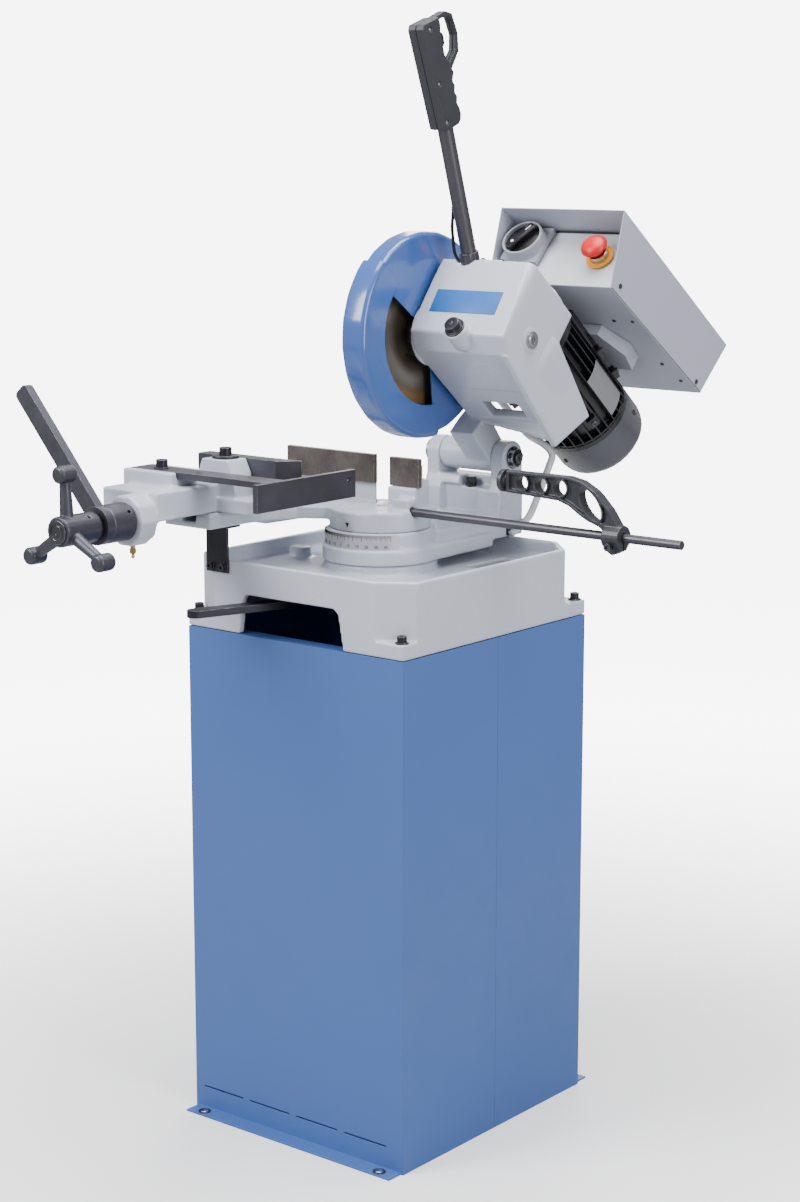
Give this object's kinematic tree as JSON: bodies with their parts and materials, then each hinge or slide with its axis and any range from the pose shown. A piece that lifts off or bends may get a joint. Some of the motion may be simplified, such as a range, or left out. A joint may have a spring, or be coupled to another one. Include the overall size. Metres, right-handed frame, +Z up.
{
  "type": "manual cold circular saw",
  "caption": "Floor-standing manual cold circular saw for metal: swivelling, hinged worm-gear saw head with blade guards over a screw vise, on a coolant tray and sheet-steel stand.",
  "frame": {"origin": "centre of the stand's footprint on the floor", "axes": "+Z up, +X to the operator's right, +Y away from the operator towards the hinge of the saw head"},
  "size_m": [0.8121, 1.0383, 1.5655],
  "materials": {
    "black_oxide": "blackened, oiled",
    "black_plastic": "moulded",
    "blade_steel": "steam-treated high-speed steel",
    "box_paint": "fine-textured powder coat",
    "bright_steel": "machined",
    "bronze": "machined bronze",
    "casting_paint": "satin enamel over cast iron",
    "cowl_steel": "grey sheet steel",
    "grey_plastic": "textured",
    "guard_paint": "gloss enamel",
    "hose_plastic": "milky",
    "jaw_steel": "ground",
    "motor_alloy": "black painted ribs",
    "red_plastic": "moulded",
    "scale_metal": "anodised, engraved divisions",
    "stand_paint": "satin powder coat",
    "tank_zinc": "plain grey",
    "yellow_plastic": "moulded"
  },
  "bodies": {
    "base": {"stand_front_panel": "stand_paint", "stand_rear_panel": "stand_paint", "coolant_tank": "tank_zinc", "coolant_pump": "black_plastic", "base_casting": "casting_paint", "base_bolt_1": "black_oxide", "base_bolt_2": "black_oxide", "base_bolt_3": "black_oxide", "base_bolt_4": "black_oxide", "pivot_post": "bright_steel", "vise_table": "casting_paint", "fixed_jaw_left": "jaw_steel", "fixed_jaw_right": "jaw_steel", "vise_nut": "bronze", "support_strap": "black_oxide"},
    "lock_lever": {"swivel_lock_lever": "black_oxide"},
    "vise_slide": {"vise_slide": "casting_paint", "moving_jaw": "black_oxide", "jaw_bolt": "black_oxide", "anti_burr_stop": "black_oxide", "anti_burr_screw": "black_oxide"},
    "handwheel": {"handwheel": "black_oxide", "vise_screw": "bright_steel"},
    "clamp_lever": {"clamp_lever": "black_oxide"},
    "stop_rod": {"stop_rod": "black_oxide"},
    "stop_arm": {"stop_arm": "grey_plastic", "stop_screw": "bright_steel"},
    "swivel": {"swivel_arm": "casting_paint", "angle_scale": "scale_metal", "hinge_pin": "bright_steel", "depth_stop_screw": "bright_steel", "coolant_hose": "hose_plastic"},
    "head": {"head_casting": "casting_paint", "bearing_cover": "casting_paint", "spindle_bearing_left": "bright_steel", "spindle_bearing_right": "bright_steel", "motor_body": "motor_alloy", "motor_cowl": "cowl_steel", "oil_fill_plug": "black_oxide", "oil_level_plug": "bright_steel", "upper_guard": "guard_paint", "handle_tube": "black_oxide", "grip_shell_left": "grey_plastic", "grip_shell_right": "grey_plastic", "control_box": "box_paint", "control_panel": "box_paint", "switch_base": "grey_plastic", "estop_base": "yellow_plastic", "box_bracket": "box_paint"},
    "blade": {"spindle": "bright_steel", "saw_blade": "blade_steel", "blade_flange": "black_oxide", "blade_bolt": "black_oxide", "worm_wheel": "bronze"},
    "motor_line": {"worm_shaft": "bright_steel", "motor_rotor": "bright_steel"},
    "lower_guard": {"lower_guard": "guard_paint"},
    "switch_knob": {"switch_knob": "black_plastic"},
    "estop_button": {"estop_button": "red_plastic"},
    "trigger": {"trigger": "black_plastic"}
  },
  "joints": [
    {"name": "swivel", "type": "hinge", "parent": "base", "child": "swivel", "pos_m": [0, -0.019, 0.825], "axis": [0, 0, 1], "range_deg": [-45, 45]},
    {"name": "head_tilt", "type": "hinge", "parent": "swivel", "child": "head", "pos_m": [0, 0.1994, 0.9391], "axis": [1, 0, 0], "range_deg": [0, 33.5]},
    {"name": "motor_spin", "type": "hinge", "parent": "head", "child": "motor_line", "pos_m": [0.107, 0.27911, 1.03409], "axis": [0, 0.766, -0.6428], "continuous": true},
    {"name": "blade_spin", "type": "hinge", "parent": "head", "child": "blade", "pos_m": [0, 0.06713, 1.1245], "axis": [1, 0, 0], "continuous": true},
    {"name": "guard_swing", "type": "hinge", "parent": "head", "child": "lower_guard", "pos_m": [0, 0.06713, 1.1245], "axis": [1, 0, 0], "range_deg": [-123, 0.5]},
    {"name": "slide_travel", "type": "slide", "parent": "base", "child": "vise_slide", "axis": [0, -1, 0], "range_m": [-0.08, 0]},
    {"name": "handwheel_turn", "type": "hinge", "parent": "vise_slide", "child": "handwheel", "pos_m": [-0.15, -0.44, 0.894], "axis": [0, -1, 0], "range_deg": [-7200.1, 0]},
    {"name": "clamp_turn", "type": "hinge", "parent": "vise_slide", "child": "clamp_lever", "pos_m": [-0.15, -0.4, 0.894], "axis": [0, 1, 0], "range_deg": [-30, 60]},
    {"name": "swivel_lock", "type": "hinge", "parent": "base", "child": "lock_lever", "pos_m": [0, -0.019, 0.75], "axis": [0, 0, 1], "range_deg": [0, 36]},
    {"name": "stop_rod_turn", "type": "hinge", "parent": "base", "child": "stop_rod", "pos_m": [0.06, -0.028, 0.8855], "axis": [1, 0, 0], "range_deg": [-10, 95]},
    {"name": "stop_travel", "type": "slide", "parent": "stop_rod", "child": "stop_arm", "axis": [1, 0, 0], "range_m": [-0.1, 0.08]},
    {"name": "switch_turn", "type": "hinge", "parent": "head", "child": "switch_knob", "pos_m": [0.043, 0.27197, 1.23654], "axis": [0, 0.7108, -0.7034], "range_deg": [0, 90]},
    {"name": "estop_press", "type": "slide", "parent": "head", "child": "estop_button", "axis": [0, 0.7108, -0.7034], "range_m": [0, 0.0035]},
    {"name": "trigger_pull", "type": "slide", "parent": "head", "child": "trigger", "axis": [0, -0.9529, -0.3032], "range_m": [0, 0.0035]}
  ],
  "couplings": [
    {"joint": "blade_spin", "follows": "motor_spin", "ratio": 0.027778},
    {"joint": "guard_swing", "follows": "head_tilt", "ratio": -3.6},
    {"joint": "handwheel_turn", "follows": "slide_travel", "rad_per_m": 1570.8}
  ]
}
